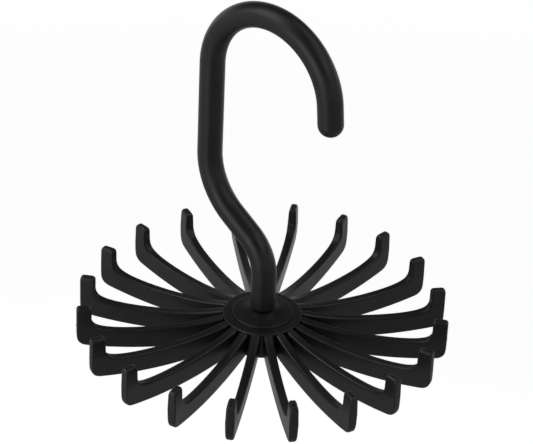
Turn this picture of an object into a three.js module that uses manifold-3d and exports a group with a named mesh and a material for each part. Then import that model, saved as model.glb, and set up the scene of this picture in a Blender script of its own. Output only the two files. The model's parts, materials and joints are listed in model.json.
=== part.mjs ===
// Tie hanger: a bent hook that carries a hub with a ring of arms, each with an upturned tip.
// Millimetres, +Z up. The hook lies in the XZ plane with its open side towards +X.
// The origin is the crest inside the hook's arch, where it sits on a rod that runs along Y.

import * as THREE from 'three';
import { mergeVertices } from 'three/addons/utils/BufferGeometryUtils.js';
import Module from 'manifold-3d';

const wasm = await Module();
wasm.setup();

// Clearances
const seatGap = 0.3;             // between pieces that rest on, or are keyed into, each other
const bearingGap = 0.3;          // between the hook's journal and the bores that turn on it
const shoulderGap = 0.4;         // between the foot of the hook and the crown of the cap
const cutOverrun = 1;            // how far a cutting body runs past the face that it opens
const weldDistance = 1e-5;       // vertices nearer than this are one

// Ring of arms
const armCount = 20;
const rackRadius = 57.5;         // hub axis to the outer faces of the tips
const restTurn = 13;             // degrees from the hook's open side to the first arm
const armThickness = 2.9;        // at the parting line, where it is thickest
const partingDrop = 6.6;         // tip top to the parting line
const draftShare = 0.04;         // how much each side draws in per height away from the parting line
const armEdge = 0.5;             // chamfer along the arm's edges
const tipWidth = 4.6;            // radially
const tipHeight = 6.9;           // tip top to the notch that it makes with the blade
const tipTopRounding = 1;
const notchRounding = 2.5;
const notchFall = 0.8;           // how much lower the blade is at the foot of the notch rounding
const bladeTopDip = 2.15;        // how far the blade's upper edge is drawn down between its ends
const rootDrop = 5.85;           // tip top to the blade's upper edge beside the hub
const rootDepth = 8.05;          // height of the blade beside the hub
const noseDrop = 13.4;           // tip top to the lower outer corner
const noseRounding = 3.3;
const bellySag = 3.9;            // how far the blade's lower edge is drawn down between its ends
const dipStartShare = 0.3;
const dipEndShare = 0.86;

// How far each arm leans sideways in its slot, in degrees, from the first arm anticlockwise
const armLeans = [
  0, -0.5, -0.25, 0.75, 1, -0.5, -1.25, 0.5, 0, 0,
  -0.25, 0.25, -0.25, -0.25, 0.25, 0, 0, 0.75, 1.25, -0.5,
];

// Tongue that keys an arm into the hub
const tongueThickness = 1.4;
const tongueOverlap = 1;         // how far the tongue runs into the blade

// Hub cap
const capDrop = 5.5;             // tip top to the top of the cap's flange
const capRadius = 12.2;
const flangeThickness = 0.8;
const flangeWidth = 2.9;         // from the raised disc to the cap's rim
const discRise = 0.65;           // of the disc's edge above the flange
const crownRise = 1.25;          // of the disc from its edge to the bore
const capEdge = 0.3;             // rounding of the cap's upper edges
const spigotWall = 1.4;          // sleeve under the cap, which locates it in the core
const spigotLength = 2.5;
const ribWidth = 0.8;            // ring under the cap that locks the tongues
const ribDepth = 1;

// Hub core
const flangeOverhang = 1.2;      // how far the cap's rim stands out past the core
const slotShare = 0.31;          // of the core's radius, which each slot cuts in from the side
const slotDepth = 6.9;
const coreFloor = 1.6;           // thickness below the slots
const coreEdge = 0.5;            // chamfer around the underside
const recessWall = 1.4;          // between the slots' radius and the hollow for the washer and screw
const recessDepth = 3.9;

// Washer, screw and base plug
const washerRoom = 0.8;          // between the washer and the wall of the hollow
const washerThickness = 0.8;
const screwHeadRadius = 2.7;
const screwHeadHeight = 1.4;
const screwHeadCrown = 0.5;      // how much of the head is rounded
const screwRadius = 1.2;
const screwLength = 7;
const crossWidth = 0.6;
const crossLength = 3;
const crossDepth = 0.8;
const plugThickness = 0.8;
const plugEdge = 0.25;

// Hook
const rodRadius = 3.875;
const footEdge = 0.5;
const journalRadius = 2.8;
const journalEdge = 0.4;
const footLength = 11.1;         // straight length from the foot shoulder to the first bend
const footBend = 14.61;          // bend radii of the rod's centre line
const stemBend = 22.5;
const archRadius = 22.5;
const bendLength = 8.25;         // straight length between the two lower bends
const stemLength = 29.89;        // straight length from the upper of them to the arch
const endLength = 5.4;           // straight length after the arch
const bendAngle = THREE.MathUtils.degToRad(56.3);
const archAngle = THREE.MathUtils.degToRad(174.6);

// Finishes
const plasticBlack = 0x1a1a1b;
const zincGrey = 0xb4b6b8;

// Counts of facets
const ringSides = 40;
const rodSides = 20;
const smallSides = 20;
const archSteps = 26;
const bendSteps = 9;
const domeSteps = 4;
const outlineSteps = 4;

// Heights of the hub's faces, measured from the level of the tip tops
const flangeTop = -capDrop;
const discEdgeTop = flangeTop + discRise;
const crownTop = discEdgeTop + crownRise;
const capUnderside = flangeTop - flangeThickness;
const coreTop = capUnderside - seatGap;
const slotFloor = coreTop - slotDepth;
const hubBottom = slotFloor - coreFloor;
const recessRoof = hubBottom + recessDepth;
const washerTop = recessRoof - seatGap;
const washerBottom = washerTop - washerThickness;
const screwHeadTop = washerBottom - seatGap;
const journalEnd = washerTop + seatGap;
const footShoulder = crownTop + shoulderGap;

// Radii that follow from the named ones
const coreRadius = capRadius - flangeOverhang;
const slotLength = slotShare * coreRadius;
const sleeveRadius = coreRadius - slotLength;
const slotMiddle = sleeveRadius + slotLength / 2;
const discRadius = capRadius - flangeWidth;
const recessRadius = sleeveRadius - recessWall;
const washerRadius = recessRadius - washerRoom;
const boreRadius = journalRadius + bearingGap;
const spigotRadius = boreRadius + spigotWall;
const screwBoreRadius = screwRadius + seatGap;
const ribInner = slotMiddle - ribWidth / 2;
const ribOuter = slotMiddle + ribWidth / 2;
const grooveInner = ribInner - seatGap;
const grooveOuter = ribOuter + seatGap;
const ribBottom = capUnderside - ribDepth;
const grooveBottom = ribBottom - seatGap;

function plastic() {
  return new THREE.MeshStandardMaterial({ color: plasticBlack, roughness: 0.5, metalness: 0 });
}

function zincSteel() {
  return new THREE.MeshStandardMaterial({ color: zincGrey, roughness: 0.35, metalness: 1 });
}

// A closed geometry as a solid: shared vertices are merged and triangles with no area are left out.
function solid(geometry) {
  const bare = geometry.clone();
  bare.deleteAttribute('normal');
  bare.deleteAttribute('uv');
  const merged = mergeVertices(bare, weldDistance);
  const corners = merged.index.array;
  const kept = [];
  for (let i = 0; i < corners.length; i += 3) {
    const [a, b, c] = corners.slice(i, i + 3);
    if (a !== b && b !== c && c !== a) kept.push(a, b, c);
  }
  const vertProperties = new Float32Array(merged.attributes.position.array);
  return new wasm.Manifold(new wasm.Mesh({ numProp: 3, vertProperties, triVerts: new Uint32Array(kept) }));
}

function geometryOf(body) {
  const mesh = body.getMesh();
  const geometry = new THREE.BufferGeometry();
  geometry.setAttribute('position', new THREE.BufferAttribute(mesh.vertProperties, 3));
  geometry.setIndex(new THREE.BufferAttribute(mesh.triVerts, 1));
  geometry.computeVertexNormals();
  return geometry;
}

function piece(name, body, material) {
  const mesh = new THREE.Mesh(geometryOf(body), material);
  mesh.name = name;
  return mesh;
}

// A body turned about Z from a list of [radius, height] corners, listed from the bottom up on its outside.
function turned(corners, sides) {
  const profile = corners.map(([radius, height]) => new THREE.Vector2(radius, height));
  const geometry = new THREE.LatheGeometry(profile, sides);
  geometry.rotateX(Math.PI / 2);
  return solid(geometry);
}

function ring(innerRadius, outerRadius, bottom, top) {
  return turned([
    [innerRadius, bottom],
    [outerRadius, bottom],
    [outerRadius, top],
    [innerRadius, top],
    [innerRadius, bottom],
  ], ringSides);
}

function block(width, depth, height, x, y, z) {
  const geometry = new THREE.BoxGeometry(width, depth, height);
  geometry.translate(x, y, z);
  return solid(geometry);
}

// Hook: a straight turned rod, with its journal and screw bore, is bent along a run of straights and arcs.

// Stretches of the rod, each a length along its centre line and the angle that it turns towards +X.
const straight = (length) => ({ length, turn: 0 });
const bend = (radius, turn) => ({ length: radius * Math.abs(turn), turn });

const rodBelowArch = [
  straight(footShoulder - journalEnd + footLength),
  bend(footBend, -bendAngle),
  straight(bendLength),
  bend(stemBend, bendAngle),
  straight(stemLength),
];
const rodRun = [...rodBelowArch, bend(archRadius, archAngle), straight(endLength)];

// The point and heading at a distance along the rod's centre line; heading 0 is straight up.
function alongRod(distance) {
  let x = 0;
  let z = journalEnd;
  let heading = 0;
  let left = distance;
  for (const { length, turn } of rodRun) {
    const run = Math.min(left, length);
    const swing = turn * run / length;
    const chord = swing === 0 ? run : run * Math.sin(swing / 2) / (swing / 2);
    x += chord * Math.sin(heading + swing / 2);
    z += chord * Math.cos(heading + swing / 2);
    heading += swing;
    left -= run;
  }
  return { x: x + left * Math.sin(heading), z: z + left * Math.cos(heading), heading };
}

// Distances along the rod at which its section is set.
function rodStations() {
  const stations = [];
  let start = 0;
  for (const { length, turn } of rodRun) {
    const steps = turn === 0 ? 1 : Math.abs(turn) > Math.PI / 2 ? archSteps : bendSteps;
    for (let step = 1; step <= steps; step += 1) stations.push(start + length * step / steps);
    start += length;
  }
  return stations;
}

function straightRodProfile() {
  const shoulder = footShoulder - journalEnd;
  const stations = rodStations();
  const end = stations[stations.length - 1];
  const corners = [
    [0, screwLength],
    [screwBoreRadius, screwLength],
    [screwBoreRadius, 0],
    [journalRadius - journalEdge, 0],
    [journalRadius, journalEdge],
    [journalRadius, shoulder],
    [rodRadius - footEdge, shoulder],
    [rodRadius, shoulder + footEdge],
  ];
  for (const station of stations) corners.push([rodRadius, station]);
  for (let step = 1; step <= domeSteps; step += 1) {
    const angle = Math.PI / 2 * step / domeSteps;
    const radius = step === domeSteps ? 0 : rodRadius * Math.cos(angle);
    corners.push([radius, end + rodRadius * Math.sin(angle)]);
  }
  return corners.map(([radius, distance]) => new THREE.Vector2(radius, distance));
}

function hookBody() {
  const geometry = new THREE.LatheGeometry(straightRodProfile(), rodSides);
  const position = geometry.attributes.position;
  for (let i = 0; i < position.count; i += 1) {
    const { x, z, heading } = alongRod(position.getY(i));
    const across = position.getX(i);
    const sideways = -position.getZ(i);
    position.setXYZ(i, x + across * Math.cos(heading), sideways, z - across * Math.sin(heading));
  }
  return solid(geometry);
}

// Crest of the arch on the centre line, which places the origin.
function archCrest() {
  const archStart = rodBelowArch.reduce((sum, { length }) => sum + length, 0);
  return alongRod(archStart + archRadius * Math.PI / 2);
}

// Arm: a blade with an upturned tip, in a plane through the hub axis, and a tongue that keys into the core.

function bladeShape() {
  const outer = rackRadius;
  const inner = rackRadius - tipWidth;
  const root = coreRadius + seatGap;
  const rebate = capRadius + seatGap;
  const noseStart = rackRadius - noseRounding;
  const rootFoot = -rootDrop - rootDepth;
  const notchFoot = inner - notchRounding;
  const notchFloor = -tipHeight - notchFall;
  const span = notchFoot - rebate;
  const shape = new THREE.Shape();
  shape.moveTo(outer, -tipTopRounding);
  shape.quadraticCurveTo(outer, 0, outer - tipTopRounding, 0);
  shape.lineTo(inner + tipTopRounding, 0);
  shape.quadraticCurveTo(inner, 0, inner, -tipTopRounding);
  shape.lineTo(inner, -tipHeight + notchRounding);
  shape.quadraticCurveTo(inner, -tipHeight, notchFoot, notchFloor);
  shape.bezierCurveTo(
    rebate + dipEndShare * span, notchFloor - bladeTopDip,
    rebate + dipStartShare * span, notchFloor - bladeTopDip,
    rebate, -rootDrop,
  );
  shape.lineTo(rebate, coreTop);
  shape.lineTo(root, coreTop);
  shape.lineTo(root, rootFoot);
  shape.quadraticCurveTo((root + noseStart) / 2, rootFoot - bellySag, noseStart, rootFoot);
  shape.quadraticCurveTo(outer, -noseDrop, outer, -noseDrop + noseRounding);
  return shape;
}

function tongueShape() {
  const inner = sleeveRadius + seatGap;
  const outer = coreRadius + seatGap + tongueOverlap;
  const bottom = slotFloor + seatGap;
  const shape = new THREE.Shape();
  shape.moveTo(inner, bottom);
  shape.lineTo(outer, bottom);
  shape.lineTo(outer, coreTop);
  shape.lineTo(grooveOuter, coreTop);
  shape.lineTo(grooveOuter, grooveBottom);
  shape.lineTo(grooveInner, grooveBottom);
  shape.lineTo(grooveInner, coreTop);
  shape.lineTo(inner, coreTop);
  return shape;
}

// A plate cut to an outline of radius and height, centred on the XZ plane.
function plateGeometry(shape, thickness, edge) {
  const geometry = new THREE.ExtrudeGeometry(shape, {
    depth: thickness - 2 * edge,
    curveSegments: outlineSteps,
    bevelEnabled: edge > 0,
    bevelThickness: edge,
    bevelSize: edge,
    bevelOffset: -edge,
    bevelSegments: 1,
  });
  geometry.translate(0, 0, edge - thickness / 2);
  geometry.rotateX(Math.PI / 2);
  return geometry;
}

// Draws both sides of a plate in towards its middle, above and below the parting line.
function drafted(geometry) {
  const position = geometry.attributes.position;
  for (let i = 0; i < position.count; i += 1) {
    const away = Math.abs(position.getZ(i) + partingDrop);
    const kept = 1 - draftShare * away / (armThickness / 2);
    position.setY(i, position.getY(i) * kept);
  }
  return geometry;
}

function armBody() {
  const blade = solid(drafted(plateGeometry(bladeShape(), armThickness, armEdge)));
  const tongue = solid(plateGeometry(tongueShape(), tongueThickness, 0));
  return blade.add(tongue);
}

// Each arm stands in its own slot and leans about the middle of that slot.
function armsGroup() {
  const arms = new THREE.Group();
  const body = armBody();
  for (let i = 0; i < armCount; i += 1) {
    const arm = piece(`arm_${String(i + 1).padStart(2, '0')}`, body, plastic());
    arm.position.x = -slotMiddle;
    const seat = new THREE.Group();
    seat.position.x = slotMiddle;
    seat.rotation.z = THREE.MathUtils.degToRad(armLeans[i % armLeans.length]);
    seat.add(arm);
    const spoke = new THREE.Group();
    spoke.rotation.z = slotAngle(i);
    spoke.add(seat);
    arms.add(spoke);
  }
  return arms;
}

// Hub

function slotAngle(index) {
  return THREE.MathUtils.degToRad(restTurn + 360 * index / armCount);
}

function capBody() {
  const spigotBottom = capUnderside - spigotLength;
  return turned([
    [boreRadius, spigotBottom],
    [spigotRadius, spigotBottom],
    [spigotRadius, capUnderside],
    [ribInner, capUnderside],
    [ribInner, ribBottom],
    [ribOuter, ribBottom],
    [ribOuter, capUnderside],
    [capRadius, capUnderside],
    [capRadius, flangeTop - capEdge],
    [capRadius - capEdge, flangeTop],
    [discRadius, flangeTop],
    [discRadius, discEdgeTop - capEdge],
    [discRadius - capEdge, discEdgeTop],
    [boreRadius, crownTop],
    [boreRadius, spigotBottom],
  ], ringSides);
}

function coreBody() {
  const spigotFloor = capUnderside - spigotLength - seatGap;
  const spigotBore = spigotRadius + seatGap;
  let core = turned([
    [boreRadius, recessRoof],
    [recessRadius, recessRoof],
    [recessRadius, hubBottom],
    [coreRadius - coreEdge, hubBottom],
    [coreRadius, hubBottom + coreEdge],
    [coreRadius, coreTop],
    [grooveOuter, coreTop],
    [grooveOuter, grooveBottom],
    [grooveInner, grooveBottom],
    [grooveInner, coreTop],
    [spigotBore, coreTop],
    [spigotBore, spigotFloor],
    [boreRadius, spigotFloor],
    [boreRadius, recessRoof],
  ], ringSides);
  const cutLength = slotLength + cutOverrun;
  const cutHeight = slotDepth + cutOverrun;
  const cutWidth = tongueThickness + 2 * seatGap;
  for (let i = 0; i < armCount; i += 1) {
    const slot = block(
      cutLength, cutWidth, cutHeight,
      sleeveRadius + cutLength / 2, 0, slotFloor + cutHeight / 2,
    );
    core = core.subtract(slot.rotate([0, 0, THREE.MathUtils.radToDeg(slotAngle(i))]));
  }
  return core;
}

function washerBody() {
  return ring(screwBoreRadius, washerRadius, washerBottom, washerTop);
}

function screwBody() {
  const headBottom = screwHeadTop - screwHeadHeight;
  const shankTop = journalEnd + screwLength - seatGap;
  const screw = turned([
    [0, headBottom],
    [screwHeadRadius - screwHeadCrown, headBottom],
    [screwHeadRadius, headBottom + screwHeadCrown],
    [screwHeadRadius, screwHeadTop],
    [screwRadius, screwHeadTop],
    [screwRadius, shankTop - screwRadius],
    [0, shankTop],
  ], smallSides);
  const height = crossDepth + cutOverrun;
  const middle = headBottom + crossDepth - height / 2;
  const slot = block(crossLength, crossWidth, height, 0, 0, middle);
  const crossSlot = block(crossWidth, crossLength, height, 0, 0, middle);
  return screw.subtract(slot).subtract(crossSlot);
}

function plugBody() {
  const radius = recessRadius - seatGap;
  return turned([
    [0, hubBottom],
    [radius - plugEdge, hubBottom],
    [radius, hubBottom + plugEdge],
    [radius, hubBottom + plugThickness],
    [0, hubBottom + plugThickness],
  ], ringSides);
}

// The whole hanger, moved so that the inside of the arch's crest is the origin.
function hanger() {
  const crest = archCrest();
  const group = new THREE.Group();
  group.add(piece('hook', hookBody(), plastic()));
  group.add(piece('pivot_screw', screwBody(), zincSteel()));
  group.add(piece('thrust_washer', washerBody(), zincSteel()));
  group.add(piece('hub_cap', capBody(), plastic()));
  group.add(piece('hub_core', coreBody(), plastic()));
  group.add(piece('base_plug', plugBody(), plastic()));
  group.add(armsGroup());
  group.position.set(-crest.x, 0, rodRadius - crest.z);
  return group;
}

export default hanger();
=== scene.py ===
"""A tie hanger in satin black plastic: a bent hook, and on its foot a turning hub with twenty arms.

Everything is in metres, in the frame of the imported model. Its origin is the crest inside the hook's arch,
+Z is up, and the hook lies in the XZ plane with its open side towards +X.
"""

import json
import math

import bmesh
import bpy
from mathutils import Matrix, Vector


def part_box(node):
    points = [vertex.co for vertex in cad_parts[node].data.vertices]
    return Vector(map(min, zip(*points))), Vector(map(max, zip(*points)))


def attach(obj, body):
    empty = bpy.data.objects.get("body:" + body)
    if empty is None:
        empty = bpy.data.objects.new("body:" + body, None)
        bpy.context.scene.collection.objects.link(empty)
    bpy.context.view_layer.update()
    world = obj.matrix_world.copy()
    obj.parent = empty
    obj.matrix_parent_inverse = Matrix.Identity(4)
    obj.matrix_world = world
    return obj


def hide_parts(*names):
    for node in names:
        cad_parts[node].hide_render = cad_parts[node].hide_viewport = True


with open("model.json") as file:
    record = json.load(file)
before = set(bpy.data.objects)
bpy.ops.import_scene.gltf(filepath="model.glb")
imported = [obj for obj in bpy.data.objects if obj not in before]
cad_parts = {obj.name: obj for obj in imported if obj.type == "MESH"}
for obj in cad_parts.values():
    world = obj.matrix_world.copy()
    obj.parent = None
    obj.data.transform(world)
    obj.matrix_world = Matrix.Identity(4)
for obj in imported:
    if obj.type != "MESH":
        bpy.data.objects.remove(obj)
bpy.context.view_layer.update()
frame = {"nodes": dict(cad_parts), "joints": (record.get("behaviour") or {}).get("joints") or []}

MM = 0.001

# Camera: its place, its turns in degrees, and its lens and sensor in millimetres
CAMERA_PLACE = (0.37735, -0.46534, 0.30798)
CAMERA_TURN = (58.082, -2.233, 40.365)
CAMERA_LENS = 157.76
SENSOR_WIDTH = 36
NEAR_CLIP = 0.01
FAR_CLIP = 50

# Light: each softbox with its azimuth and elevation in degrees and its power in watts
LIGHT_MIDDLE = Vector((0, 0, -0.06))
SOFTBOX_DISTANCE = 1
SOFTBOX_SIZE = 0.6
SOFTBOXES = [
    ("left_high_softbox", 225, 38, 3.6),
    ("front_softbox", 270, 12, 2.6),
    ("front_low_softbox", 270, -18, 1.5),
    ("left_low_softbox", 225, -18, 0.83),
    ("side_low_softbox", 180, -18, 0.6),
    ("back_low_softbox", 90, -18, 0.46),
    ("right_high_softbox", 0, 38, 2.0),
    ("back_high_softbox", 45, 38, 1.0),
    ("far_high_softbox", 135, 31, 0.2),
    ("ceiling_softbox", 60, 64, 1.35),
    ("left_ceiling_softbox", 212, 63, 1.7),
]

# Studio: the strength of its light, which fades out between two heights on a sphere of radius 1
WHITE = (1, 1, 1, 1)
STUDIO_STRENGTH = 1.03
FADE_START = 0.14
FADE_END = 0.2

# Floor: how bright it shows near the middle and far out
FLOOR_HEIGHT = -0.75
FLOOR_SIZE = 14
FLOOR_COLOUR = (0.8, 0.8, 0.8, 1)
FLOOR_ROUGHNESS = 0.9
FLOOR_SPECULAR = 0.1
NEAR_FLOOR = 0.9
FAR_FLOOR = 2
NEAR_FLOOR_GLOW = 0.77
FAR_FLOOR_GLOW = 0.97

# Floor: the glows on its right and far sides, which only the gloss of the object shows
RIGHT_GLOW_AZIMUTH = 22
RIGHT_GLOW = 0.3
FAR_GLOW_AZIMUTHS = (86, 176)
FAR_GLOW = 1.1
GLOW_START = 0.2
GLOW_END = 0.7

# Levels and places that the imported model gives
HUB_X, HUB_Y, _ = frame["joints"][0]["pos_m"]
TIP_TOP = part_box("arm_01")[1].z
HOOK_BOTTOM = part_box("hook")[0].z
CAP_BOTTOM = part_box("hub_cap")[0].z
CAP_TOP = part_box("hub_cap")[1].z
CORE_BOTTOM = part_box("hub_core")[0].z
CORE_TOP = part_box("hub_core")[1].z
PLUG_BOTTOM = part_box("base_plug")[0].z
PLUG_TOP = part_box("base_plug")[1].z
CAP_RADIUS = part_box("hub_cap")[1].x - HUB_X
CORE_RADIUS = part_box("hub_core")[1].x - HUB_X
PLUG_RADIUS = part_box("base_plug")[1].x - HUB_X

# Hook: the rod, its foot and journal, and the bends of its centre line
ROD_RADIUS = 3.875 * MM
ROD_SIDES = 64
JOURNAL_RADIUS = 2.8 * MM
JOURNAL_EDGE = 0.4 * MM
SCREW_BORE_RADIUS = 1.5 * MM
SCREW_BORE_DEPTH = 7 * MM
FOOT_SHOULDER = TIP_TOP - 3.2 * MM
FOOT_LENGTH = 11.1 * MM
FOOT_ROUNDING = 0.7 * MM
FOOT_BEND_RADIUS = 14.61 * MM
STEM_BEND_RADIUS = 22.5 * MM
BEND_GAP = 8.25 * MM
BEND_ANGLE = math.radians(56.3)
STEM_LENGTH = 29.89 * MM
ARCH_RADIUS = 22.5 * MM
ARCH_ANGLE = math.radians(174.6)
END_LENGTH = 5.4 * MM
BEND_STEPS = 24
ARCH_STEPS = 64
DOME_STEPS = 12

# Arms: their number, the angle of the first, and the angle at which each one leans in its slot
ARM_COUNT = 20
FIRST_ARM_ANGLE = 13
ARM_LEANS = [0, -0.5, -0.25, 0.75, 1, -0.5, -1.25, 0.5, 0, 0,
             -0.25, 0.25, -0.25, -0.25, 0.25, 0, 0, 0.75, 1.25, -0.5]
ARM_SLOT_MIDDLE = 9.3 * MM

# Arm: its outline, with radii from the hub's axis and drops from the tip's top
RACK_RADIUS = 57.5 * MM
TIP_WIDTH = 4.6 * MM
TIP_ROUNDING = 1 * MM
TIP_STEPS = 3
NOTCH_DROP = 6.9 * MM
NOTCH_ROUNDING = 2.5 * MM
NOTCH_FALL = 0.8 * MM
BLADE_DIP = 2.15 * MM
DIP_START_SHARE = 0.3
DIP_END_SHARE = 0.86
ROOT_RADIUS = 11.2 * MM
ROOT_DROP = 5.85 * MM
ROOT_FOOT_DROP = 13.9 * MM
REBATE_RADIUS = 12.25 * MM
REBATE_DROP = 6.45 * MM
BELLY_SAG = 3.9 * MM
NOSE_DROP = 13.4 * MM
NOSE_ROUNDING = 3.3 * MM

# Arm: the steps of its outline, and where on its lower edge the rebate starts and the blade starts and ends.
# Both starts are in parts of the rebate's own share of that edge, and the end is a share of the whole edge.
# FIRST_SHEET_HALF is half the width of the plain sheet that the side is drawn out of.
BLADE_STEPS = 16
CORNER_STEPS = 7
REBATE_START = 0.8
BLADE_START = 1.4
BLADE_END = 0.94
FIRST_SHEET_HALF = 1 * MM

# Arm: its thickness, the draft of its sides, and how far its edges are rounded
ARM_THICKNESS = 2.9 * MM
PARTING_DROP = 6.6 * MM
DRAFT_SHARE = 0.04
SIDE_FACING = 0.5
SIDE_EDGE = 0.45 * MM
BLADE_EDGE = 0.65 * MM
BELLY_EDGE = 0.8 * MM
TIP_EDGE = 1.15 * MM
ARM_EDGE_SEGMENTS = 4

# Arm: its tongue, and the mould's stub on its tip. NUB_SHARES are places on the tip's inner side, across from
# the stub's ends. The stub's foot is a share of NUB_HEIGHT tall, and its top is a share of its foot's size.
TONGUE_THICKNESS = 1.4 * MM
TONGUE_TOP_DROP = 7.65 * MM
TONGUE_BOTTOM_DROP = 13.2 * MM
TONGUE_INNER_RADIUS = 7.9 * MM
NUB_HEIGHT = 1 * MM
NUB_WIDTH = 1 * MM
NUB_RISE = 0.12 * MM
NUB_SHARES = (0.2, 0.4)
NUB_FOOT_SHARE = 0.8
NUB_TOP_SHARE = 0.6

# Cap: its flange, its disc with the radii and rises of its hollow curve, and the sleeve and ring under it
TURNED_SIDES = 128
BORE_RADIUS = 3.1 * MM
FLANGE_TOP = TIP_TOP - 5.5 * MM
FLANGE_FALL = 0.12 * MM
FLANGE_THICKNESS = 0.8 * MM
FLANGE_BOTTOM = FLANGE_TOP - FLANGE_THICKNESS
FLANGE_EDGE = 0.4 * MM
DISC_EDGE_TOP = TIP_TOP - 4.85 * MM
DISC_RADIUS = 9.3 * MM
DISC_EDGE = 0.35 * MM
DISC_CURVE = [(7.4 * MM, 0.15 * MM), (6.2 * MM, 0.33 * MM), (5.2 * MM, 0.56 * MM), (4.2 * MM, 0.86 * MM)]
CAP_EDGE = 0.25 * MM
SLEEVE_RADIUS = 4.5 * MM
RING_INNER_RADIUS = 8.9 * MM
RING_OUTER_RADIUS = 9.7 * MM
RING_DEPTH = 1 * MM

# Core and plug
RING_ROOM = 0.3 * MM
SLEEVE_ROOM = 0.3 * MM
CORE_EDGE = 0.25 * MM
RECESS_RADIUS = 6.2 * MM
RECESS_DEPTH = 3.9 * MM
SLOT_DEPTH = 6.9 * MM
SLOT_INNER_RADIUS = 7.6 * MM
SLOT_WIDTH = 2 * MM
PLUG_EDGE = 0.25 * MM
PLUG_DISH = 0.15 * MM
PLUG_RIM = 1.2 * MM

# Shaping
WELD = 0.001 * MM
ROUNDING_STEPS = 6
EDGE_SEGMENTS = 3
EDGE_ANGLE = math.radians(40)
SMOOTH_ANGLE = math.radians(38)

# Patterns: the levels between which most of a noise lies, and how broken up it is unless it says otherwise
NOISE_LOW = 0.3
NOISE_HIGH = 0.7
NOISE_BREAKUP = 0.5

# Satin black plastic: its patterns, its two blacks, its gloss, and what its rubbed edges add. Their paler
# colour is partly wear and partly a painted highlight along the rounded edges.
GRAIN_SCALE = 4200
GRAIN_DETAIL = 3
GRAIN_BREAKUP = 0.6
WAVE_SCALE = 160
WAVE_DETAIL = 3
CLOUD_SCALE = 45
CLOUD_DETAIL = 2
# The convex edges, found by their pointiness: painted paler partly as wear and partly as a painted highlight,
# and made a little glossier
RUBBED_AND_HIGHLIGHT_START = 0.51
RUBBED_AND_HIGHLIGHT_END = 0.55
DEEP_BLACK = (0.0042, 0.0042, 0.0045, 1)
PALE_BLACK = (0.0095, 0.0095, 0.0100, 1)
WAVE_PALENESS = 0.5
RUBBED_AND_HIGHLIGHT_PALENESS = 0.5
CLOUD_ROUGHNESS = (0.36, 0.44)
GRAIN_ROUGHNESS = 0.05
RUBBED_GLOSS = 0.05
PLASTIC_IOR = 1.36
GRAIN_BUMP = 0.25
GRAIN_DEPTH = 0.03 * MM
WAVE_BUMP = 0.2
WAVE_DEPTH = 0.15 * MM

# How far the patterns of each plastic are shifted, so that they don't match from piece to piece
HOOK_SHIFT = 0.31
HUB_SHIFT = 0.57
ARM_SHIFT = 0.83

# Zinc plate
SPANGLE_SCALE = 1600
SPANGLE_REACH = 0.6
SPANGLE_ROUGHNESS = (0.26, 0.42)
ZINC_CLOUD_SCALE = 500
ZINC_CLOUD_DETAIL = 3
DARK_ZINC = (0.50, 0.51, 0.53, 1)
BRIGHT_ZINC = (0.68, 0.69, 0.70, 1)
ZINC_BUMP = 0.15
ZINC_DEPTH = 0.03 * MM


# Working in edit mode

def choose(piece):
    """Leaves the piece as the only one selected, and active."""
    bpy.ops.object.select_all(action="DESELECT")
    piece.select_set(True)
    bpy.context.view_layer.objects.active = piece


def settle(piece):
    """Puts the piece's place, turn and scale into its mesh."""
    choose(piece)
    bpy.ops.object.transform_apply(location=True, rotation=True, scale=True)


def edit_only(piece):
    """Opens the piece alone in edit mode."""
    choose(piece)
    bpy.ops.object.mode_set(mode="EDIT")


def pick(kind, wanted):
    """Selects only the vertices, edges or faces that pass the test."""
    mesh = bpy.context.edit_object.data
    edit = bmesh.from_edit_mesh(mesh)
    parts = {"VERT": edit.verts, "EDGE": edit.edges, "FACE": edit.faces}[kind]
    found = [part.index for part in parts if wanted(part)]
    bpy.ops.mesh.select_mode(type=kind)
    bpy.ops.mesh.select_all(action="DESELECT")
    edit = bmesh.from_edit_mesh(mesh)
    parts = {"VERT": edit.verts, "EDGE": edit.edges, "FACE": edit.faces}[kind]
    parts.ensure_lookup_table()
    for index in found:
        parts[index].select_set(True)
    edit.select_flush_mode()
    bmesh.update_edit_mesh(mesh)


def finish_shape(piece):
    """Leaves edit mode with doubles merged and faces pointing out."""
    bpy.ops.mesh.select_all(action="SELECT")
    bpy.ops.mesh.remove_doubles(threshold=WELD)
    bpy.ops.mesh.normals_make_consistent(inside=False)
    bpy.ops.object.mode_set(mode="OBJECT")
    return piece


def apply_modifier(piece, name, kind, **settings):
    """Adds a modifier with these settings and applies it."""
    modifier = piece.modifiers.new(name, kind)
    for setting, value in settings.items():
        setattr(modifier, setting, value)
    bpy.context.view_layer.objects.active = piece
    bpy.ops.object.modifier_apply(modifier=name)


def soften_edges(piece, width):
    """Rounds all the piece's sharp edges alike."""
    apply_modifier(piece, "edges", "BEVEL", width=width, segments=EDGE_SEGMENTS,
                   limit_method="ANGLE", angle_limit=EDGE_ANGLE)


def smooth(piece):
    """Smooth shading in which the large faces keep their own direction."""
    choose(piece)
    bpy.ops.object.shade_smooth_by_angle(angle=SMOOTH_ANGLE)
    apply_modifier(piece, "face_weights", "WEIGHTED_NORMAL", keep_sharp=True)


# Points of an outline

def between(start, end, share):
    """The point at a share of the way from one point to another."""
    return tuple(a + (b - a) * share for a, b in zip(start, end))


def curve_point(points, share):
    """The point at a share of a Bezier curve with these control points."""
    while len(points) > 1:
        points = [between(a, b, share) for a, b in zip(points, points[1:])]
    return points[0]


def rounded(before, corner, after, rounding):
    """Points along the rounding of one corner of an outline."""
    start = between(corner, before, rounding / math.dist(corner, before))
    end = between(corner, after, rounding / math.dist(corner, after))
    return [curve_point([start, corner, end], step / ROUNDING_STEPS) for step in range(ROUNDING_STEPS + 1)]


def quarter_steps(steps):
    """The sine and cosine of each step of a quarter turn, without the first."""
    for step in range(1, steps + 1):
        angle = math.pi / 2 * step / steps
        yield math.sin(angle), math.cos(angle)


# Turned pieces and bent rods

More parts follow.
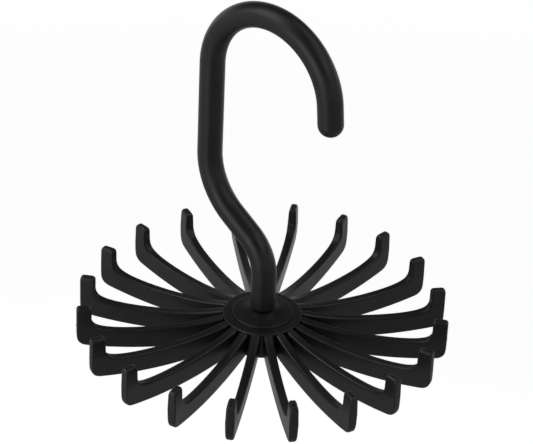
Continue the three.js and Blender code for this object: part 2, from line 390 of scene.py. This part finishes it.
def start_ring(name, radius, height, sides, filled):
    """A circle about the hub's axis, in edit mode with its edges selected."""
    bpy.ops.object.select_all(action="DESELECT")
    bpy.ops.mesh.primitive_circle_add(vertices=sides, radius=radius, location=(HUB_X, HUB_Y, height),
                                      fill_type="NGON" if filled else "NOTHING")
    ring = bpy.context.object
    ring.name = name
    ring.data.name = name
    settle(ring)
    edit_only(ring)
    bpy.ops.mesh.select_mode(type="EDGE")
    bpy.ops.mesh.select_all(action="SELECT")
    return ring


def grow_ring(move, ratio, centre):
    """Extrudes the selected ring by a move, and then scales it about its new centre."""
    bpy.ops.mesh.extrude_edges_move(TRANSFORM_OT_translate={"value": move})
    if ratio != 1:
        bpy.ops.transform.resize(value=(ratio, ratio, ratio), center_override=centre)


def grow_through(corners):
    """Grows the selected ring, which is at the first (radius, height) corner, through the others in turn."""
    for (radius, height), (next_radius, next_height) in zip(corners, corners[1:]):
        move = (0, 0, next_height - height)
        grow_ring(move, next_radius / radius, (HUB_X, HUB_Y, next_height))


def turned(name, corners):
    """A piece turned about the hub's axis from a list of (radius, height) corners that closes on itself."""
    radius, height = corners[0]
    piece = start_ring(name, radius, height, TURNED_SIDES, filled=False)
    grow_through(corners)
    return finish_shape(piece)


# Hook

def way(heading):
    """The direction of the rod's centre line: up at a heading of 0, and towards +X as it increases."""
    return Vector((math.sin(heading), 0, math.cos(heading)))


def run_straight(place, heading, length):
    """Draws the rod out along its heading, and returns the place that it reaches."""
    move = way(heading) * length
    grow_ring(move, 1, place + move)
    return place + move


def run_bend(place, heading, radius, angle, steps):
    """Bends the rod by an angle, towards +X if it is positive, and returns its new place and heading."""
    side = math.copysign(1, angle)
    centre = place + Vector((math.cos(heading), 0, -math.sin(heading))) * radius * side
    bpy.ops.mesh.spin(steps=steps, angle=-angle, center=centre, axis=(0, 1, 0))
    turn = Matrix.Rotation(angle, 3, "Y")
    return centre + turn @ (place - centre), heading + angle


def close_end(place, heading):
    """Rounds off and closes the free end of the rod."""
    risen = 0
    width = 1
    last_share = math.cos(math.pi / 2 / DOME_STEPS)
    for sine, _ in quarter_steps(DOME_STEPS - 1):
        share = sine * last_share
        next_width = math.sqrt(1 - share * share)
        move = way(heading) * ROD_RADIUS * (share - risen)
        place = place + move
        grow_ring(move, next_width / width, place)
        risen = share
        width = next_width
    bpy.ops.mesh.edge_face_add()


def foot_corners():
    """The (radius, height) corners of the foot, from the floor of the screw's bore out to the rod's side."""
    shoulder_radius = ROD_RADIUS - FOOT_ROUNDING
    corners = [
        (SCREW_BORE_RADIUS, HOOK_BOTTOM + SCREW_BORE_DEPTH),
        (SCREW_BORE_RADIUS, HOOK_BOTTOM),
        (JOURNAL_RADIUS - JOURNAL_EDGE, HOOK_BOTTOM),
        (JOURNAL_RADIUS, HOOK_BOTTOM + JOURNAL_EDGE),
        (JOURNAL_RADIUS, FOOT_SHOULDER),
        (shoulder_radius, FOOT_SHOULDER),
    ]
    for sine, cosine in quarter_steps(ROUNDING_STEPS):
        height = FOOT_SHOULDER + FOOT_ROUNDING * (1 - cosine)
        corners.append((shoulder_radius + FOOT_ROUNDING * sine, height))
    return corners


def make_hook():
    """The hook as one rod, grown from the bore in its journal to its rounded free end."""
    corners = foot_corners()
    radius, height = corners[0]
    hook = start_ring("hook_rod", radius, height, ROD_SIDES, filled=True)
    grow_through(corners)
    place = Vector((HUB_X, HUB_Y, corners[-1][1]))
    heading = 0
    place = run_straight(place, heading, FOOT_LENGTH - FOOT_ROUNDING)
    place, heading = run_bend(place, heading, FOOT_BEND_RADIUS, -BEND_ANGLE, BEND_STEPS)
    place = run_straight(place, heading, BEND_GAP)
    place, heading = run_bend(place, heading, STEM_BEND_RADIUS, BEND_ANGLE, BEND_STEPS)
    place = run_straight(place, heading, STEM_LENGTH)
    place, heading = run_bend(place, heading, ARCH_RADIUS, ARCH_ANGLE, ARCH_STEPS)
    place = run_straight(place, heading, END_LENGTH)
    close_end(place, heading)
    return finish_shape(hook)


# Arm

def upper_curves():
    """The control points of the arm's sagging upper edge, and of the notch between it and the tip."""
    inner = RACK_RADIUS - TIP_WIDTH
    notch_foot = inner - NOTCH_ROUNDING
    notch_floor = -NOTCH_DROP - NOTCH_FALL
    span = notch_foot - REBATE_RADIUS
    upper_edge = [
        (REBATE_RADIUS, -ROOT_DROP),
        (REBATE_RADIUS + DIP_START_SHARE * span, notch_floor - BLADE_DIP),
        (REBATE_RADIUS + DIP_END_SHARE * span, notch_floor - BLADE_DIP),
        (notch_foot, notch_floor),
    ]
    notch = [
        (notch_foot, notch_floor),
        (inner, -NOTCH_DROP),
        (inner, -NOTCH_DROP + NOTCH_ROUNDING),
    ]
    return upper_edge, notch


def lower_curves():
    """The control points of the arm's lower edge, and of the nose under its tip."""
    nose_start = RACK_RADIUS - NOSE_ROUNDING
    lower_edge = [
        (ROOT_RADIUS, -ROOT_FOOT_DROP),
        ((ROOT_RADIUS + nose_start) / 2, -ROOT_FOOT_DROP - BELLY_SAG),
        (nose_start, -ROOT_FOOT_DROP),
    ]
    nose = [
        (nose_start, -ROOT_FOOT_DROP),
        (RACK_RADIUS, -NOSE_DROP),
        (RACK_RADIUS, -NOSE_DROP + NOSE_ROUNDING),
    ]
    return lower_edge, nose


def blade_stations():
    """Pairs of points, upper and lower, along the side of an arm from its root to the foot of its tip."""
    upper_edge, notch = upper_curves()
    lower_edge, nose = lower_curves()
    rebate_share = (REBATE_RADIUS - ROOT_RADIUS) / (lower_edge[-1][0] - ROOT_RADIUS)
    blade_start = rebate_share * BLADE_START
    stations = [
        ((ROOT_RADIUS, -REBATE_DROP), lower_edge[0]),
        ((REBATE_RADIUS, -REBATE_DROP), curve_point(lower_edge, rebate_share * REBATE_START)),
    ]
    for step in range(BLADE_STEPS + 1):
        share = step / BLADE_STEPS
        lower_share = blade_start + (BLADE_END - blade_start) * share
        stations.append((curve_point(upper_edge, share), curve_point(lower_edge, lower_share)))
    for step in range(CORNER_STEPS):
        lower = curve_point(nose, step / (CORNER_STEPS - 1))
        stations.append((curve_point(notch, (step + 1) / CORNER_STEPS), lower))
    return stations


def tip_stations(notch_top):
    """The pairs of points from the top of the notch to the top of the tip, inner side first."""
    inner = notch_top[0]
    foot = (inner, -TIP_ROUNDING)
    stations = []
    for share, rise in zip(NUB_SHARES, (-NUB_HEIGHT / 2, NUB_HEIGHT / 2)):
        stations.append((between(notch_top, foot, share), (RACK_RADIUS, -PARTING_DROP + rise)))
    stations.append((foot, (RACK_RADIUS, -TIP_ROUNDING)))
    for sine, cosine in quarter_steps(TIP_STEPS):
        drawn_in = TIP_ROUNDING * (1 - cosine)
        height = -TIP_ROUNDING * (1 - sine)
        stations.append(((inner + drawn_in, height), (RACK_RADIUS - drawn_in, height)))
    return stations


def put_vertex(start, end):
    """Moves the vertex at one point of the arm's side to another."""
    move = end - start
    if move.length > WELD:
        pick("VERT", lambda vertex: (vertex.co - start).length < WELD)
        bpy.ops.transform.translate(value=move)


def draw_arm_side(name):
    """The arm's side as a flat sheet, extruded from pair to pair of points, with Z 0 at the parting line."""
    def point(place):
        radius, height = place
        return Vector((radius, 0, height + PARTING_DROP))

    outline = blade_stations()
    outline += tip_stations(outline[-1][0])
    stations = [(point(upper), point(lower)) for upper, lower in outline]
    bpy.ops.object.select_all(action="DESELECT")
    bpy.ops.mesh.primitive_plane_add(size=2 * FIRST_SHEET_HALF, rotation=(math.pi / 2, 0, 0))
    sheet = bpy.context.object
    sheet.name = name
    settle(sheet)
    edit_only(sheet)
    for side, (upper, lower) in zip((-FIRST_SHEET_HALF, FIRST_SHEET_HALF), stations):
        put_vertex(Vector((side, 0, FIRST_SHEET_HALF)), upper)
        put_vertex(Vector((side, 0, -FIRST_SHEET_HALF)), lower)
    for (upper, lower), (next_upper, next_lower) in zip(stations[1:], stations[2:]):
        pick("VERT", lambda vertex: min((vertex.co - upper).length, (vertex.co - lower).length) < WELD)
        move = next_upper - upper
        bpy.ops.mesh.extrude_region_move(TRANSFORM_OT_translate={"value": move})
        put_vertex(lower + move, next_lower)
    bpy.ops.object.mode_set(mode="OBJECT")
    return sheet


def draft(piece, low, high):
    """Draws the piece's sides in towards its middle plane, above and below the parting line at Z 0."""
    parting_share = -low / (high - low)
    half = ARM_THICKNESS / 2
    apply_modifier(piece, "draft_above", "SIMPLE_DEFORM", deform_method="TAPER", deform_axis="Z",
                   lock_x=True, limits=(parting_share, 1), factor=-DRAFT_SHARE * high / half)
    apply_modifier(piece, "draft_below", "SIMPLE_DEFORM", deform_method="TAPER", deform_axis="Z",
                   lock_x=True, limits=(0, parting_share), factor=-DRAFT_SHARE * low / half)


def is_side(face):
    """Whether the face is part of one of the arm's two sides, which face along Y."""
    return abs(face.normal.y) > SIDE_FACING


def rim_normal(edge):
    """The direction that the rim beside this edge faces; None unless a side and the rim meet here."""
    rim, side = sorted(edge.link_faces, key=lambda face: abs(face.normal.y))
    return rim.normal if is_side(side) and not is_side(rim) else None


def edge_rounding(edge):
    """How far an edge of the arm is rounded: most on top of its tip, least on upright faces, in tenths."""
    normal = rim_normal(edge)
    if normal is None:
        return 0
    if min(vertex.co.z for vertex in edge.verts) > PARTING_DROP - TIP_ROUNDING - WELD:
        flat_edge = TIP_EDGE
    else:
        flat_edge = BLADE_EDGE if normal.z > 0 else BELLY_EDGE
    return SIDE_EDGE + (flat_edge - SIDE_EDGE) * round(abs(normal.z), 1)


def round_edges(arm):
    """Rounds the arm's long edges, by amounts that change a little from one edge to the next."""
    edit_only(arm)
    pick("EDGE", lambda edge: all(is_side(face) for face in edge.link_faces))
    bpy.ops.mesh.dissolve_edges(use_verts=False)
    edges = bmesh.from_edit_mesh(arm.data).edges
    for rounding in sorted({edge_rounding(edge) for edge in edges} - {0}):
        pick("EDGE", lambda edge: edge_rounding(edge) == rounding)
        bpy.ops.transform.edge_bevelweight(value=rounding / TIP_EDGE)
    bpy.ops.object.mode_set(mode="OBJECT")
    apply_modifier(arm, "edges", "BEVEL", width=TIP_EDGE, segments=ARM_EDGE_SEGMENTS,
                   limit_method="WEIGHT", use_clamp_overlap=False)


def add_nub():
    """The low stub that the mould's inlet leaves on the outer face of the tip."""
    outer = RACK_RADIUS - WELD
    reach = NUB_HEIGHT / 2 + WELD
    pick("FACE", lambda face: all(vertex.co.x > outer and abs(vertex.co.z) < reach for vertex in face.verts))
    bpy.ops.mesh.extrude_region_move()
    bpy.ops.transform.resize(value=(1, NUB_WIDTH / ARM_THICKNESS, NUB_FOOT_SHARE))
    bpy.ops.mesh.extrude_region_move(TRANSFORM_OT_translate={"value": (NUB_RISE, 0, 0)})
    bpy.ops.transform.resize(value=(1, NUB_TOP_SHARE, NUB_TOP_SHARE))


def add_tongue():
    """The tongue that keys the arm into the core, drawn out of the root."""
    root = ROOT_RADIUS + WELD
    pick("FACE", lambda face: all(vertex.co.x < root for vertex in face.verts))
    bpy.ops.mesh.extrude_region_move()
    edit = bmesh.from_edit_mesh(bpy.context.edit_object.data)
    chosen = [vertex.co for vertex in edit.verts if vertex.select]
    low = min(co.z for co in chosen)
    high = max(co.z for co in chosen)
    wide = max(co.y for co in chosen) * 2
    tall = TONGUE_BOTTOM_DROP - TONGUE_TOP_DROP
    middle = PARTING_DROP - (TONGUE_BOTTOM_DROP + TONGUE_TOP_DROP) / 2
    centre = (ROOT_RADIUS, 0, (low + high) / 2)
    bpy.ops.transform.resize(value=(1, TONGUE_THICKNESS / wide, tall / (high - low)), center_override=centre)
    bpy.ops.transform.translate(value=(0, 0, middle - (low + high) / 2))
    length = ROOT_RADIUS - TONGUE_INNER_RADIUS
    bpy.ops.mesh.extrude_region_move(TRANSFORM_OT_translate={"value": (-length, 0, 0)})


def make_arm():
    """One arm that points along +X from the hub's axis, with Z 0 at its parting line."""
    arm = draw_arm_side("tie_arm")
    heights = [vertex.co.z for vertex in arm.data.vertices]
    apply_modifier(arm, "thickness", "SOLIDIFY", thickness=ARM_THICKNESS, offset=0)
    round_edges(arm)
    edit_only(arm)
    bpy.ops.mesh.select_all(action="SELECT")
    bpy.ops.mesh.bisect(plane_co=(0, 0, 0), plane_no=(0, 0, 1))
    finish_shape(arm)
    draft(arm, min(heights), max(heights))
    edit_only(arm)
    add_nub()
    add_tongue()
    return finish_shape(arm)


def arm_turn(index):
    """The turn from +X to the slot of one of the arms."""
    return Matrix.Rotation(math.radians(FIRST_ARM_ANGLE + 360 * index / ARM_COUNT), 4, "Z")


def set_arm(first, index):
    """A copy of the first arm, leaning as its own does and turned to its slot."""
    arm = first.copy()
    arm.data = first.data.copy()
    arm.name = f"tie_arm_{index + 1:02d}"
    arm.data.name = arm.name
    bpy.context.collection.objects.link(arm)
    to_slot = Matrix.Translation((ARM_SLOT_MIDDLE, 0, 0))
    lean = Matrix.Rotation(math.radians(ARM_LEANS[index]), 4, "Z")
    hub = Matrix.Translation((HUB_X, HUB_Y, TIP_TOP - PARTING_DROP))
    arm.matrix_world = hub @ arm_turn(index) @ to_slot @ lean @ to_slot.inverted()
    settle(arm)
    return arm


# Hub

def disc_corners():
    """The upper side of the cap's disc, from its rim to the bore: it swells towards the hook's foot."""
    disc = [(DISC_RADIUS, DISC_EDGE_TOP)]
    disc += [(radius, DISC_EDGE_TOP + rise) for radius, rise in DISC_CURVE]
    disc += [(BORE_RADIUS, CAP_TOP)]
    return [
        *rounded((DISC_RADIUS, FLANGE_TOP + FLANGE_FALL), disc[0], disc[1], DISC_EDGE),
        *disc[1:-1],
        *rounded(disc[-2], disc[-1], (BORE_RADIUS, CAP_BOTTOM), CAP_EDGE),
    ]


def make_cap():
    """The flange with its raised disc, and the sleeve and ring under it."""
    bore_foot = (BORE_RADIUS, CAP_BOTTOM)
    sleeve_foot = (SLEEVE_RADIUS, CAP_BOTTOM)
    sleeve_top = (SLEEVE_RADIUS, FLANGE_BOTTOM)
    ring_outside = (RING_OUTER_RADIUS, FLANGE_BOTTOM)
    rim_bottom = (CAP_RADIUS, FLANGE_BOTTOM)
    rim_top = (CAP_RADIUS, FLANGE_TOP)
    disc_foot = (DISC_RADIUS, FLANGE_TOP + FLANGE_FALL)
    return turned("cap_disc", [
        bore_foot,
        *rounded(bore_foot, sleeve_foot, sleeve_top, CAP_EDGE),
        sleeve_top,
        (RING_INNER_RADIUS, FLANGE_BOTTOM),
        (RING_INNER_RADIUS, FLANGE_BOTTOM - RING_DEPTH),
        (RING_OUTER_RADIUS, FLANGE_BOTTOM - RING_DEPTH),
        ring_outside,
        *rounded(ring_outside, rim_bottom, rim_top, CAP_EDGE),
        *rounded(rim_bottom, rim_top, disc_foot, FLANGE_EDGE),
        disc_foot,
        *disc_corners(),
        bore_foot,
    ])


def make_core():
    """The drum with a slot for each arm's tongue, a groove for the cap's ring and a recess underneath."""
    roof = CORE_BOTTOM + RECESS_DEPTH
    sleeve_bore = SLEEVE_RADIUS + SLEEVE_ROOM
    sleeve_floor = CAP_BOTTOM - SLEEVE_ROOM
    groove_inner = RING_INNER_RADIUS - RING_ROOM
    groove_outer = RING_OUTER_RADIUS + RING_ROOM
    groove_floor = FLANGE_BOTTOM - RING_DEPTH - RING_ROOM
    core = turned("core_drum", [
        (BORE_RADIUS, roof),
        (RECESS_RADIUS, roof),
        (RECESS_RADIUS, CORE_BOTTOM),
        (CORE_RADIUS, CORE_BOTTOM),
        (CORE_RADIUS, CORE_TOP),
        (groove_outer, CORE_TOP),
        (groove_outer, groove_floor),
        (groove_inner, groove_floor),
        (groove_inner, CORE_TOP),
        (sleeve_bore, CORE_TOP),
        (sleeve_bore, sleeve_floor),
        (BORE_RADIUS, sleeve_floor),
        (BORE_RADIUS, roof),
    ])
    soften_edges(core, CORE_EDGE)
    cutters = make_slot_cutters()
    apply_modifier(core, "slots", "BOOLEAN", operation="DIFFERENCE", object=cutters, solver="EXACT")
    bpy.data.objects.remove(cutters)
    return core


def make_slot_cutters():
    """The blocks that cut the slots in the core, as one object."""
    length = CORE_RADIUS
    middle = SLOT_INNER_RADIUS + length / 2
    tall = SLOT_DEPTH * 2
    floor = CORE_TOP - SLOT_DEPTH
    blocks = []
    for index in range(ARM_COUNT):
        bpy.ops.object.select_all(action="DESELECT")
        bpy.ops.mesh.primitive_cube_add(size=1, location=(middle, 0, floor + tall / 2))
        block = bpy.context.object
        block.scale = (length, SLOT_WIDTH, tall)
        settle(block)
        block.matrix_world = Matrix.Translation((HUB_X, HUB_Y, 0)) @ arm_turn(index)
        blocks.append(block)
    choose(blocks[0])
    for block in blocks:
        block.select_set(True)
    bpy.ops.object.join()
    cutters = bpy.context.object
    settle(cutters)
    return cutters


def make_plug():
    """The disc that closes the recess, slightly dished inside its rim."""
    rim = PLUG_RADIUS - PLUG_RIM
    corners = [
        (rim, PLUG_BOTTOM + PLUG_DISH),
        (rim + PLUG_DISH, PLUG_BOTTOM),
        (PLUG_RADIUS, PLUG_BOTTOM),
        (PLUG_RADIUS, PLUG_TOP),
        (rim, PLUG_TOP),
    ]
    plug = start_ring("plug_disc", rim, PLUG_BOTTOM + PLUG_DISH, TURNED_SIDES, filled=True)
    grow_through(corners)
    bpy.ops.mesh.edge_face_add()
    finish_shape(plug)
    soften_edges(plug, PLUG_EDGE)
    return plug


# Materials

def new_material(name):
    """A material with its tree, its shader and the socket of the Object coordinates."""
    material = bpy.data.materials.new(name)
    material.use_nodes = True
    tree = material.node_tree
    shader = tree.nodes["Principled BSDF"]
    place = tree.nodes.new("ShaderNodeTexCoord")
    return material, tree, shader, place.outputs["Object"]


def add_noise(tree, place, scale, detail, breakup=NOISE_BREAKUP):
    """A noise pattern, which runs mostly from NOISE_LOW to NOISE_HIGH."""
    noise = tree.nodes.new("ShaderNodeTexNoise")
    noise.inputs["Scale"].default_value = scale
    noise.inputs["Detail"].default_value = detail
    noise.inputs["Roughness"].default_value = breakup
    tree.links.new(place, noise.inputs["Vector"])
    return noise.outputs["Fac"]


def add_range(tree, value, low, high, start=NOISE_LOW, end=NOISE_HIGH):
    """Maps a value from start..end to low..high."""
    span = tree.nodes.new("ShaderNodeMapRange")
    span.inputs["From Min"].default_value = start
    span.inputs["From Max"].default_value = end
    span.inputs["To Min"].default_value = low
    span.inputs["To Max"].default_value = high
    tree.links.new(value, span.inputs["Value"])
    return span.outputs["Result"]


def add_math(tree, operation, first, second):
    """A sum or the like of two values, each of them a number or a socket."""
    node = tree.nodes.new("ShaderNodeMath")
    node.operation = operation
    for socket, value in zip(node.inputs, (first, second)):
        if isinstance(value, (int, float)):
            socket.default_value = value
        else:
            tree.links.new(value, socket)
    return node.outputs["Value"]


def colour_between(tree, shader, first, second, share):
    """Gives the shader a colour at a share of the way from one to another."""
    mix = tree.nodes.new("ShaderNodeMix")
    mix.data_type = "RGBA"
    mix.inputs["A"].default_value = first
    mix.inputs["B"].default_value = second
    tree.links.new(share, mix.inputs["Factor"])
    tree.links.new(mix.outputs["Result"], shader.inputs["Base Color"])


def add_bump(tree, height, strength, depth):
    """A bump node over a pattern of heights."""
    bump = tree.nodes.new("ShaderNodeBump")
    bump.inputs["Strength"].default_value = strength
    bump.inputs["Distance"].default_value = depth
    tree.links.new(height, bump.inputs["Height"])
    return bump


def satin_black(name, shift):
    """Moulded black plastic: a fine eroded grain, slow waves of gloss, and edges painted a little lighter,
    partly as wear and partly as a painted highlight.
    """
    material, tree, shader, place = new_material(name)
    mapping = tree.nodes.new("ShaderNodeMapping")
    mapping.inputs["Location"].default_value = (shift, shift * 2, shift * 3)
    tree.links.new(place, mapping.inputs["Vector"])
    place = mapping.outputs["Vector"]
    grain = add_noise(tree, place, GRAIN_SCALE, GRAIN_DETAIL, GRAIN_BREAKUP)
    waves = add_noise(tree, place, WAVE_SCALE, WAVE_DETAIL)
    clouds = add_noise(tree, place, CLOUD_SCALE, CLOUD_DETAIL)
    geometry = tree.nodes.new("ShaderNodeNewGeometry")
    rubbed_and_highlight_edges = add_range(tree, geometry.outputs["Pointiness"], 0, 1, RUBBED_AND_HIGHLIGHT_START, RUBBED_AND_HIGHLIGHT_END)

    wave_paleness = add_range(tree, waves, 0, WAVE_PALENESS)
    # Painted highlight and wear: the convex edges are made paler, partly as rubbed wear and partly standing
    # in for the highlight lines on their roundings
    rubbed_and_highlight_paleness = add_math(tree, "MULTIPLY", rubbed_and_highlight_edges, RUBBED_AND_HIGHLIGHT_PALENESS)
    paleness = add_math(tree, "ADD", wave_paleness, rubbed_and_highlight_paleness)
    colour_between(tree, shader, DEEP_BLACK, PALE_BLACK, paleness)

    cloud_roughness = add_range(tree, clouds, *CLOUD_ROUGHNESS)
    grain_roughness = add_range(tree, grain, -GRAIN_ROUGHNESS, GRAIN_ROUGHNESS)
    roughness = add_math(tree, "ADD", cloud_roughness, grain_roughness)
    roughness = add_math(tree, "SUBTRACT", roughness, add_math(tree, "MULTIPLY", rubbed_and_highlight_edges, RUBBED_GLOSS))
    tree.links.new(roughness, shader.inputs["Roughness"])
    shader.inputs["IOR"].default_value = PLASTIC_IOR

    fine = add_bump(tree, grain, GRAIN_BUMP, GRAIN_DEPTH)
    slow = add_bump(tree, waves, WAVE_BUMP, WAVE_DEPTH)
    tree.links.new(fine.outputs["Normal"], slow.inputs["Normal"])
    tree.links.new(slow.outputs["Normal"], shader.inputs["Normal"])
    return material


def zinc_plate():
    """Zinc-plated steel: a bright bluish grey with a spangled, slightly cloudy surface."""
    material, tree, shader, place = new_material("zinc_plate")
    spangle = tree.nodes.new("ShaderNodeTexVoronoi")
    spangle.inputs["Scale"].default_value = SPANGLE_SCALE
    tree.links.new(place, spangle.inputs["Vector"])
    cloud = add_noise(tree, place, ZINC_CLOUD_SCALE, ZINC_CLOUD_DETAIL)
    colour_between(tree, shader, DARK_ZINC, BRIGHT_ZINC, add_range(tree, cloud, 0, 1))
    roughness = add_range(tree, spangle.outputs["Distance"], *SPANGLE_ROUGHNESS, 0, SPANGLE_REACH)
    tree.links.new(roughness, shader.inputs["Roughness"])
    shader.inputs["Metallic"].default_value = 1
    bump = add_bump(tree, cloud, ZINC_BUMP, ZINC_DEPTH)
    tree.links.new(bump.outputs["Normal"], shader.inputs["Normal"])
    return material


def dress(piece, material):
    """Gives the piece this material alone."""
    piece.data.materials.clear()
    piece.data.materials.append(material)


# Camera, floor and light

def set_camera():
    """The camera at the photograph's viewing angle."""
    data = bpy.data.cameras.new("camera")
    data.lens = CAMERA_LENS
    data.sensor_width = SENSOR_WIDTH
    data.clip_start = NEAR_CLIP
    data.clip_end = FAR_CLIP
    camera = bpy.data.objects.new("camera", data)
    camera.location = CAMERA_PLACE
    camera.rotation_euler = [math.radians(angle) for angle in CAMERA_TURN]
    bpy.context.collection.objects.link(camera)
    bpy.context.scene.camera = camera


def shown_glow(tree, place):
    """How bright the floor shows to the camera: more further out, where less of the lamps' light falls."""
    distance = tree.nodes.new("ShaderNodeVectorMath")
    distance.operation = "LENGTH"
    tree.links.new(place, distance.inputs[0])
    return add_range(tree, distance.outputs["Value"], NEAR_FLOOR_GLOW, FAR_FLOOR_GLOW, NEAR_FLOOR, FAR_FLOOR)


def side_glow(tree, place, azimuth, strength):
    """A glow that rises from the middle of the floor towards one side."""
    turn = math.radians(azimuth)
    across = tree.nodes.new("ShaderNodeVectorMath")
    across.operation = "DOT_PRODUCT"
    across.inputs[1].default_value = (math.cos(turn), math.sin(turn), 0)
    tree.links.new(place, across.inputs[0])
    return add_range(tree, across.outputs["Value"], 0, strength, GLOW_START, GLOW_END)


def pale_floor():
    """A matt pale floor that shows white to the camera, and whose sides glow in the gloss of the object."""
    material, tree, shader, place = new_material("pale_floor")
    shader.inputs["Base Color"].default_value = FLOOR_COLOUR
    shader.inputs["Roughness"].default_value = FLOOR_ROUGHNESS
    shader.inputs["Specular IOR Level"].default_value = FLOOR_SPECULAR
    shader.inputs["Emission Color"].default_value = WHITE
    path = tree.nodes.new("ShaderNodeLightPath")
    seen = add_math(tree, "MULTIPLY", path.outputs["Is Camera Ray"], shown_glow(tree, place))
    right_glow = side_glow(tree, place, RIGHT_GLOW_AZIMUTH, RIGHT_GLOW)
    far_glows = [side_glow(tree, place, azimuth, FAR_GLOW) for azimuth in FAR_GLOW_AZIMUTHS]
    far_glow = add_math(tree, "MINIMUM", *far_glows)
    both_glows = add_math(tree, "ADD", right_glow, far_glow)
    mirrored = add_math(tree, "MULTIPLY", path.outputs["Is Glossy Ray"], both_glows)
    tree.links.new(add_math(tree, "ADD", seen, mirrored), shader.inputs["Emission Strength"])
    return material


def set_floor():
    """The floor, well below the object, with a soft shadow on it."""
    bpy.ops.object.select_all(action="DESELECT")
    bpy.ops.mesh.primitive_plane_add(size=FLOOR_SIZE, location=(0, 0, FLOOR_HEIGHT))
    floor = bpy.context.object
    floor.name = "floor"
    dress(floor, pale_floor())


def set_world():
    """White to the camera, and for everything else a soft studio that fades out above the horizon."""
    world = bpy.data.worlds.new("studio")
    bpy.context.scene.world = world
    world.use_nodes = True
    tree = world.node_tree
    background = tree.nodes["Background"]
    background.inputs["Color"].default_value = WHITE
    path = tree.nodes.new("ShaderNodeLightPath")
    coordinates = tree.nodes.new("ShaderNodeTexCoord")
    split = tree.nodes.new("ShaderNodeSeparateXYZ")
    tree.links.new(coordinates.outputs["Generated"], split.inputs["Vector"])
    studio = add_range(tree, split.outputs["Z"], STUDIO_STRENGTH, 0, FADE_START, FADE_END)
    seen = add_math(tree, "MAXIMUM", path.outputs["Is Camera Ray"], path.outputs["Is Transmission Ray"])
    strength = tree.nodes.new("ShaderNodeMix")
    strength.data_type = "FLOAT"
    strength.inputs["B"].default_value = 1
    tree.links.new(seen, strength.inputs["Factor"])
    tree.links.new(studio, strength.inputs["A"])
    tree.links.new(strength.outputs["Result"], background.inputs["Strength"])


def set_softbox(name, azimuth, elevation, power):
    """A square softbox at this direction from the middle of the object, and aimed at it."""
    turn = math.radians(azimuth)
    across = math.cos(math.radians(elevation)) * SOFTBOX_DISTANCE
    rise = math.sin(math.radians(elevation)) * SOFTBOX_DISTANCE
    place = LIGHT_MIDDLE + Vector((math.cos(turn) * across, math.sin(turn) * across, rise))
    data = bpy.data.lights.new(name, "AREA")
    data.shape = "SQUARE"
    data.size = SOFTBOX_SIZE
    data.energy = power
    softbox = bpy.data.objects.new(name, data)
    softbox.visible_camera = False
    softbox.location = place
    softbox.rotation_euler = (LIGHT_MIDDLE - place).to_track_quat("-Z", "Y").to_euler()
    bpy.context.collection.objects.link(softbox)


# The object

def build_hook():
    """The hook, which stays still."""
    hook = make_hook()
    smooth(hook)
    dress(hook, satin_black("hook_plastic_satin", HOOK_SHIFT))
    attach(hook, "hook_body")
    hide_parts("hook")


def build_hub():
    """The cap, core and plug, which turn together."""
    hub_plastic = satin_black("hub_plastic_satin", HUB_SHIFT)
    for make, node in ((make_cap, "hub_cap"), (make_core, "hub_core"), (make_plug, "base_plug")):
        piece = make()
        smooth(piece)
        dress(piece, hub_plastic)
        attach(piece, "rotor")
        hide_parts(node)


def build_arms():
    """The arms, made once and copied to every slot."""
    first = make_arm()
    smooth(first)
    dress(first, satin_black("arm_plastic_satin", ARM_SHIFT))
    for index in range(ARM_COUNT):
        arm = set_arm(first, index)
        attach(arm, "rotor")
        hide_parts(f"arm_{index + 1:02d}")
    bpy.data.objects.remove(first)


def dress_fasteners():
    """Zinc for the screw and washer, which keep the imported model's shapes."""
    zinc = zinc_plate()
    for node in ("pivot_screw", "thrust_washer"):
        dress(frame["nodes"][node], zinc)


def build():
    """The camera, the object and the studio."""
    set_camera()
    build_hook()
    build_hub()
    build_arms()
    dress_fasteners()
    set_floor()
    set_world()
    for softbox in SOFTBOXES:
        set_softbox(*softbox)
    bpy.context.scene.view_settings.view_transform = "Standard"


build()
